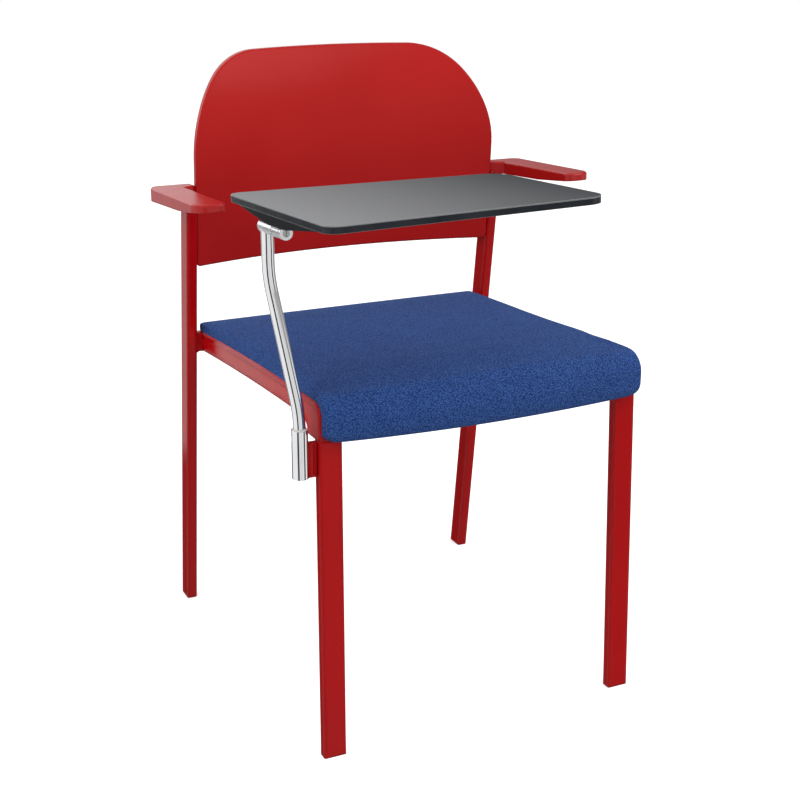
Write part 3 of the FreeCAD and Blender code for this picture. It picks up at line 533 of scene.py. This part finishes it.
cushion = {
    # Size and place, in metres
    "halfWidth": 0.2190,
    "rearY": 0.2782,
    "rearTop": 0.4522,
    "frontTop": 0.4812,
    "lipY": -0.1940,
    "lipLow": 0.4200,
    # What it lies on
    "gap": 0.0004,
    "railRearY": 0.263,
    "railTopRear": 0.4408,
    "railMidY": 0.070,
    "railTopMid": 0.4569,
    "kneeY": -0.1773,
    "kneeTop": 0.46646,
    # Corner radii of its section
    "railRound": 0.004,
    "bowRound": 6.9,
    "kneeRound": 0.017,
    "rearRound": 0.0026,
    "frontRound": 0.026,
    "lipRound": 0.011,
    "sideRound": 0.0068,
    # The top's swell, and how far from each edge it fades
    "crown": 0.0055,
    "crownPower": 2.4,
    "crownFront": 0.09,
    "crownRear": 0.06,
    # The front lip's swell, its bowed lower edge, its two turned-up corners and its place
    "lipBulge": 0.0046,
    "bulgePower": 2.2,
    "bulgeDrop": 0.03,
    "lipSag": 0.0058,
    "sagHeight": 0.034,
    "lipCorner": 0.017,
    "cornerLift": 0.8,
    "lipFade": 0.008,
    "lipShift": 0.0016,
    "shiftStart": 0.005,
    "shiftRun": 0.02,
    "shiftRear": -0.1,
    # The cloth's side edge: how it draws in, and how it hangs over the rail
    "drawIn": 0.0062,
    "drawLimit": 0.8,
    "rearDraw": 0.35,
    "rearFade": 0.05,
    "hang": 0.0034,
    "hangStart": -0.16,
    "hangRun": 0.3,
    "hangTail": 0.03,
    "hangDraw": 1.6,
    # Mesh
    "columns": 90,
    "sideTurns": (90, 72, 54, 36, 18, 0),
    "edgeCrowding": 0.25,
    "underStep": 0.0042,
    "topStep": 0.0038,
    "arcSteps": 14,
    # Cloth
    "puff": 5.0,
    "frames": 18,
    "cap": 0.0032,
    "quality": 6,
    "mass": 0.25,
    "stretch": 22,
    "shear": 8,
    "bend": 0.6,
    "heldAbove": 0.005,
    "heldRear": 0.012,
    "heldKnee": 0.003,
    "heldLip": 0.002,
}


def roundedPath(corners, stepLength):
    # Evenly spaced points along straight runs joined by arcs
    dense = []
    for i, (point, radius) in enumerate(corners):
        here = Vector(point)
        if radius == 0 or i in (0, len(corners) - 1):
            dense.append(here)
            continue
        back = (Vector(corners[i - 1][0]) - here).normalized()
        ahead = (Vector(corners[i + 1][0]) - here).normalized()
        half = back.angle(ahead) / 2
        reach = radius / math.tan(half)
        centre = here + (back + ahead).normalized() * (radius / math.sin(half))
        first = here + back * reach - centre
        last = here + ahead * reach - centre
        steps = cushion["arcSteps"]
        for k in range(steps + 1):
            dense.append(centre + first.slerp(last, k / steps).normalized() * radius)
    lengths = [0.0]
    for a, b in zip(dense, dense[1:]):
        lengths.append(lengths[-1] + (b - a).length)
    count = round(lengths[-1] / stepLength)
    path = []
    k = 0
    for i in range(count + 1):
        want = lengths[-1] * i / count
        while k < len(lengths) - 2 and lengths[k + 1] < want:
            k += 1
        span = lengths[k + 1] - lengths[k]
        share = (want - lengths[k]) / span if span else 0
        path.append(dense[k].lerp(dense[k + 1], share))
    return path


def nearestOn(path, point):
    # Closest point of a polyline
    best = None
    for a, b in zip(path, path[1:]):
        run = b - a
        spot = a + run * clamped((point - a).dot(run) / run.length_squared)
        gap = (spot - point).length
        if best is None or gap < best[0]:
            best = (gap, spot)
    return best[1]


def padSection():
    # Two lines in the YZ plane, both from the rear edge to the lip: the outside and the underside
    c = cushion
    bed = c["railTopRear"] + c["gap"]
    inside = c["kneeY"] - c["gap"]
    outside = [
        ((c["rearY"], bed), 0),
        ((c["rearY"], c["rearTop"]), c["rearRound"]),
        ((c["lipY"], c["frontTop"]), c["frontRound"]),
        ((c["lipY"], c["lipLow"]), c["lipRound"]),
        ((inside, c["lipLow"]), 0),
    ]
    underside = [
        ((c["rearY"], bed), 0),
        ((c["railRearY"], bed), c["railRound"]),
        ((c["railMidY"], c["railTopMid"] + c["gap"]), c["bowRound"]),
        ((inside, c["kneeTop"] + c["gap"]), c["kneeRound"]),
        ((inside, c["lipLow"]), 0),
    ]
    return roundedPath(outside, c["topStep"]), roundedPath(underside, c["underStep"])


def padColumns():
    # Where each loop of the shell stands across the pad, and how much it draws in
    c = cushion
    turns = [math.radians(a) for a in c["sideTurns"]]
    columns = [(-c["halfWidth"] + c["sideRound"] * (1 - math.sin(t)), 1 - math.cos(t)) for t in turns]
    inner = c["halfWidth"] - c["sideRound"]
    middles = c["columns"] - 2 * len(turns)
    crowding = c["edgeCrowding"]
    for i in range(1, middles):
        share = -1 + 2 * i / middles
        eased = math.sin(share * math.pi / 2) * crowding + share * (1 - crowding)
        columns.append((inner * eased, 0))
    for x, draw in reversed(columns[:len(turns)]):
        columns.append((-x, draw))
    return columns


def crownAt(across, y):
    c = cushion
    front = clamped((y - c["lipY"]) / c["crownFront"])
    rear = clamped((c["rearY"] - y) / c["crownRear"])
    ease = math.sin(front * math.pi / 2) * math.sin(rear * math.pi / 2)
    return c["crown"] * (1 - abs(across) ** c["crownPower"]) * ease


def bulgeAt(across, y, z):
    c = cushion
    drop = clamped((c["frontTop"] - z) / c["bulgeDrop"])
    front = clamped((c["kneeY"] - y) / c["lipFade"])
    return c["lipBulge"] * (1 - abs(across) ** c["bulgePower"]) * drop * front


def sagAt(x, y, z):
    # The lip's lower edge bows down in the middle and turns up at its two corners
    c = cushion
    front = clamped((c["kneeY"] + c["lipFade"] / 2 - y) / c["lipFade"])
    low = clamped((c["lipLow"] + c["sagHeight"] - z) / c["sagHeight"])
    corner = max(0, abs(x) - (c["halfWidth"] - c["lipCorner"])) / c["lipCorner"]
    lift = c["lipCorner"] * (1 - math.sqrt(max(0, 1 - min(1, corner) ** 2)))
    return (c["lipSag"] * (1 - (x / c["halfWidth"]) ** 2) - lift * c["cornerLift"]) * low * front


def shiftAt(y, z):
    # The lip sits a little towards the sitter's left
    c = cushion
    drop = clamped((c["frontTop"] - c["shiftStart"] - z) / c["shiftRun"])
    return c["lipShift"] * drop * (y < c["shiftRear"])


def hangAt(y):
    # The cloth's lower edge hangs over the rail's rounded corner, most behind the middle
    c = cushion
    share = clamped((y - c["hangStart"]) / c["hangRun"])
    tail = clamped((c["rearY"] - y) / c["hangTail"])
    return c["hang"] * share * tail


def padLoop(bm, x, draw, outside, underside):
    # One loop round the pad in the YZ plane
    c = cushion
    across = x / c["halfWidth"]
    loop = []
    for point in outside:
        y, z = point
        pulled = point.copy()
        if draw:
            away = point - nearestOn(underside, point)
            squared = c["rearDraw"] + (1 - c["rearDraw"]) * clamped((c["rearY"] - y) / c["rearFade"])
            if away.length > 0:
                pull = min(away.length * c["drawLimit"], draw * c["drawIn"] * squared)
                pulled -= away.normalized() * pull
        pulled.y += crownAt(across, y) - sagAt(x, y, z)
        pulled.x -= bulgeAt(across, y, z)
        loop.append(Vector((x + shiftAt(y, z), pulled.x, pulled.y)))
    for y, z in reversed(underside[1:-1]):
        low = z
        if draw and y > c["kneeY"]:
            low -= hangAt(y) * min(1, draw * c["hangDraw"])
        low -= sagAt(x, y, z)
        loop.append(Vector((x + shiftAt(y, z), y, low)))
    return [bm.verts.new(v) for v in loop]


def laceEnd(bm, loop, outsideCount, flip):
    # Close a flat end by lacing its outside row to its underside row
    upper = loop[:outsideCount]
    lower = [loop[0]] + list(reversed(loop[outsideCount:])) + [loop[outsideCount - 1]]
    lastUpper, lastLower = len(upper) - 1, len(lower) - 1
    i = j = 0
    while i < lastUpper or j < lastLower:
        if i < lastUpper and (j == lastLower or (i + 1) / lastUpper <= (j + 1) / lastLower):
            corner = [upper[i], upper[i + 1], lower[j]]
            i += 1
        else:
            corner = [upper[i], lower[j + 1], lower[j]]
            j += 1
        if len(set(corner)) == 3:
            bm.faces.new(corner if flip else corner[::-1])


def cushionMesh():
    outside, underside = padSection()
    bm = bmesh.new()
    loops = [padLoop(bm, x, draw, outside, underside) for x, draw in padColumns()]
    size = len(loops[0])
    for a, b in zip(loops, loops[1:]):
        for i in range(size):
            j = (i + 1) % size
            bm.faces.new((a[i], a[j], b[j], b[i]))
    laceEnd(bm, loops[0], len(outside), True)
    laceEnd(bm, loops[-1], len(outside), False)
    bmesh.ops.recalc_face_normals(bm, faces=bm.faces)
    return finishMesh(bm, "seatPad")


def isHeld(y, z):
    # On the rails, at the rear edge, or against the knee and under the lip
    c = cushion
    if y > c["kneeY"]:
        rise, run = c["kneeTop"] - c["railTopRear"], c["railRearY"] - c["kneeY"]
        rail = c["railTopRear"] + (c["railRearY"] - y) * rise / run
        return z < rail + c["heldAbove"] or y > c["rearY"] - c["heldRear"]
    return y > c["kneeY"] - c["heldKnee"] or z < c["lipLow"] + c["heldLip"]


def puffCushion(piece):
    # The cloth swells between its held underside and edges
    c = cushion
    rest = [v.co.copy() for v in piece.data.vertices]
    held = piece.vertex_groups.new(name="held")
    for v in piece.data.vertices:
        held.add([v.index], 1.0 if isHeld(v.co.y, v.co.z) else 0.0, "REPLACE")
    cloth = piece.modifiers.new("cloth", "CLOTH")
    settings = cloth.settings
    settings.quality = c["quality"]
    settings.mass = c["mass"]
    settings.tension_stiffness = c["stretch"]
    settings.compression_stiffness = c["stretch"]
    settings.shear_stiffness = c["shear"]
    settings.bending_stiffness = c["bend"]
    settings.vertex_group_mass = "held"
    settings.use_pressure = True
    settings.uniform_pressure_force = c["puff"]
    settings.effector_weights.gravity = 0
    cloth.collision_settings.use_collision = False
    cloth.collision_settings.use_self_collision = False
    cloth.point_cache.frame_start = 1
    cloth.point_cache.frame_end = c["frames"]
    for step in range(1, c["frames"] + 1):
        scene.frame_set(step)
    swollen = piece.evaluated_get(bpy.context.evaluated_depsgraph_get())
    moved = [v.co.copy() for v in swollen.to_mesh().vertices]
    swollen.to_mesh_clear()
    piece.modifiers.remove(cloth)
    for v, start, end in zip(piece.data.vertices, rest, moved):
        shift = end - start
        if shift.length > c["cap"]:
            shift = shift.normalized() * c["cap"]
        v.co = start + shift
    scene.frame_set(1)


seatPad = newObject("seatPad", cushionMesh(), "frame")
puffCushion(seatPad)
wear(seatPad, finishes["blue_fabric"])
smoothShade(seatPad)
rounder = seatPad.modifiers.new("round", "SUBSURF")
rounder.levels = 1
rounder.render_levels = 1
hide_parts("seat_cushion")
print("cushion:", len(seatPad.data.vertices), "points")


# Weld beads where the socket's plate and the cross rail meet the tubes

weld = {
    "radius": 0.0015,
    "thin": 0.78,  # share of the radius between two ripples
    "endRound": 0.05,
    "ripple": 0.0026,
    "step": 0.0007,
    "sides": 8,
    "plateY": (-0.1725, -0.1665),
    "plateX": (-0.2251, -0.2322),
    "plateZ": (0.3785, 0.4165),
    "legX": 0.2279,
    "railX": 0.2206,
    "crossY": (0.2631, 0.2779),
    "crossZ": (0.4129, 0.4407),
}


def beadAlong(bm, start, end):
    # One seam: rings whose radius swells at each ripple and closes at both ends
    a, b = Vector(start), Vector(end)
    run = b - a
    side = run.orthogonal().normalized()
    up = run.normalized().cross(side)
    count = round(run.length / weld["step"])
    rings = []
    for i in range(count + 1):
        along = i / count * run.length
        wave = abs(math.sin(math.pi * along / weld["ripple"]))
        nearEnd = min(along, run.length - along) / weld["radius"]
        close = math.sqrt(min(1, weld["endRound"] + nearEnd))
        radius = weld["radius"] * (weld["thin"] + (1 - weld["thin"]) * wave) * close
        centre = a + run * (i / count)
        ring = []
        for k in range(weld["sides"]):
            turn = 2 * math.pi * k / weld["sides"]
            ring.append(bm.verts.new(centre + (side * math.cos(turn) + up * math.sin(turn)) * radius))
        rings.append(ring)
    for first, second in zip(rings, rings[1:]):
        for k in range(weld["sides"]):
            j = (k + 1) % weld["sides"]
            bm.faces.new((first[k], first[j], second[j], second[k]))
    bm.faces.new(rings[0][::-1])
    bm.faces.new(rings[-1])


def makeWelds():
    bm = bmesh.new()
    low, high = weld["plateZ"]
    for x in weld["plateX"]:
        for y in weld["plateY"]:
            beadAlong(bm, (x, y, low), (x, y, high))
    front, rear = weld["crossY"]
    under, over = weld["crossZ"]
    for sign in (-1, 1):
        beadAlong(bm, (sign * weld["railX"], front, under), (sign * weld["railX"], front, over))
        x = sign * weld["legX"]
        for y in (front, rear):
            beadAlong(bm, (x, y, under), (x, y, over))
        for z in (under, over):
            beadAlong(bm, (x, front, z), (x, rear, z))
    bmesh.ops.recalc_face_normals(bm, faces=bm.faces)
    piece = newObject("weldBeads", finishMesh(bm, "weldBeads"), "frame")
    wear(piece, finishes["red_frame"])
    smoothShade(piece)
    print("weld beads:", len(piece.data.vertices), "points")


makeWelds()


# Studio: pale floor, white surround for the camera, broad soft light

studio = {
    "floorColour": (0.86, 0.86, 0.86, 1),
    "floorRoughness": 0.9,
    "floorBounce": (0.4, 0.4, 0.4, 1),
    "floorGlow": 0.5,
    "floorReach": 6.0,
    "floorDrop": 0.0002,
    # Soft boxes above and pale floor below, as compass angle and level, with dark gaps
    "upperRing": (
        (-180, 0.4), (-120, 0.5), (-85, 1.0), (-60, 1.4), (2, 1.4), (15, 1.0),
        (35, 0.1), (75, 0.2), (120, 0.4), (180, 0.4),
    ),
    "lowerRing": (
        (-180, 0.75), (-152, 0.85), (-146, 0.04), (-128, 0.04), (-122, 0.95), (-42, 0.95),
        (-33, 0.06), (-8, 0.06), (2, 0.95), (30, 0.85), (48, 0.3), (95, 0.3),
        (106, 0.95), (121, 0.95), (127, 0.04), (143, 0.04), (149, 0.9), (180, 0.75),
    ),
    "horizonBlend": 0.04,
    "ambient": 0.84,
    "lens": 66.6,
    "sensor": 36.0,
    "cameraPlace": (-0.82905, -1.69616, 1.01987),
    "cameraTurn": (71.481, 0.0, -25.166),
}
white = (1, 1, 1, 1)


def chooseNode(tree, factor, first, second):
    # The second shader where the factor is one
    node = addNode(tree, "ShaderNodeMixShader")
    for socket, output in zip(node.inputs, (factor, first, second)):
        tree.links.new(output, socket)
    return node.outputs[0]


def makeFloor():
    bm = bmesh.new()
    bmesh.ops.create_grid(bm, x_segments=2, y_segments=2, size=studio["floorReach"])
    floor = bpy.data.objects.new("studioFloor", finishMesh(bm, "studioFloor"))
    floor.location.z = -studio["floorDrop"]
    scene.collection.objects.link(floor)
    material, tree, shader = newMaterial("palePaper")
    shader.inputs["Base Color"].default_value = studio["floorColour"]
    shader.inputs["Roughness"].default_value = studio["floorRoughness"]
    shader.inputs["Specular IOR Level"].default_value = 0.0
    # The camera sees the paper with a glow that turns it white around the shadow
    glow = addNode(tree, "ShaderNodeEmission", Strength=studio["floorGlow"])
    lit = addNode(tree, "ShaderNodeAddShader")
    tree.links.new(shader.outputs[0], lit.inputs[0])
    tree.links.new(glow.outputs[0], lit.inputs[1])
    path = addNode(tree, "ShaderNodeLightPath").outputs
    bounce = addNode(tree, "ShaderNodeBsdfDiffuse", Color=studio["floorBounce"])
    seen = chooseNode(tree, path["Is Camera Ray"], bounce.outputs[0], lit.outputs[0])
    # Glossy rays pass through it to the surround
    clear = addNode(tree, "ShaderNodeBsdfTransparent")
    chosen = chooseNode(tree, path["Is Glossy Ray"], seen, clear.outputs[0])
    tree.links.new(chosen, tree.nodes["Material Output"].inputs["Surface"])
    wear(floor, material)


def azimuthRamp(tree, angle, stops):
    # Grey level by compass angle, where 0 looks along +Y and 90 along +X
    turn = rangeNode(tree, angle, 0.0, 1.0, -math.pi, math.pi)
    return rampNode(tree, turn, [((degrees + 180) / 360, (level,) * 3) for degrees, level in stops])


def makeWorld():
    world = bpy.data.worlds.new("studioWorld")
    scene.world = world
    world.use_nodes = True
    tree = world.node_tree
    coords = addNode(tree, "ShaderNodeTexCoord")
    axes = axesNode(tree, coords.outputs["Generated"])
    angle = mathNode(tree, "ARCTAN2", axes["X"], axes["Y"])
    upper = azimuthRamp(tree, angle, studio["upperRing"])
    lower = azimuthRamp(tree, angle, studio["lowerRing"])
    blend = studio["horizonBlend"]
    rise = rangeNode(tree, axes["Z"], 0.0, 1.0, -blend, blend, "SMOOTHSTEP")
    # Gloss sees the rings, plain surfaces an even light, and the camera white
    rings = tree.nodes["Background"]
    rings.inputs["Strength"].default_value = 1.0
    tree.links.new(mixNode(tree, rise, lower, upper), rings.inputs["Color"])
    even = addNode(tree, "ShaderNodeBackground", Color=white, Strength=studio["ambient"])
    plain = addNode(tree, "ShaderNodeBackground", Color=white, Strength=1.0)
    path = addNode(tree, "ShaderNodeLightPath").outputs
    lit = chooseNode(tree, path["Is Glossy Ray"], even.outputs[0], rings.outputs[0])
    chosen = chooseNode(tree, path["Is Camera Ray"], lit, plain.outputs[0])
    tree.links.new(chosen, tree.nodes["World Output"].inputs["Surface"])


# Place, aim, width and height, power, and whether the gloss shows it
lamps = {
    "keyLamp": ((2.0, -1.5, 2.9), (0, -0.1, 0.5), (2.4, 2.0), 44, True),
    "fillLamp": ((0.3, -3.0, 1.3), (0, 0, 0.5), (2.4, 1.2), 11, False),
    "leftLamp": ((-1.15, -0.35, 1.3), (-0.2, -0.15, 0.65), (0.6, 0.6), 5, False),
    "rearCard": ((-0.6, 1.2, 0.45), (-0.3, 0, 0.45), (0.3, 1.1), 0.8, True),
}


def addLamp(name, place, aim, size, power, inGloss):
    data = bpy.data.lights.new(name, "AREA")
    data.shape = "RECTANGLE"
    data.size, data.size_y = size
    data.energy = power
    lamp = bpy.data.objects.new(name, data)
    lamp.location = place
    lamp.rotation_euler = (Vector(aim) - Vector(place)).to_track_quat("-Z", "Y").to_euler()
    lamp.visible_glossy = inGloss
    lamp.visible_camera = False
    scene.collection.objects.link(lamp)


def addCamera():
    data = bpy.data.cameras.new("photoCamera")
    data.lens = studio["lens"]
    data.sensor_width = studio["sensor"]
    camera = bpy.data.objects.new("photoCamera", data)
    camera.location = studio["cameraPlace"]
    camera.rotation_euler = [math.radians(a) for a in studio["cameraTurn"]]
    scene.collection.objects.link(camera)
    scene.camera = camera


for name, values in lamps.items():
    addLamp(name, *values)
makeFloor()
makeWorld()
addCamera()
scene.view_settings.view_transform = "Standard"
print("studio ready")
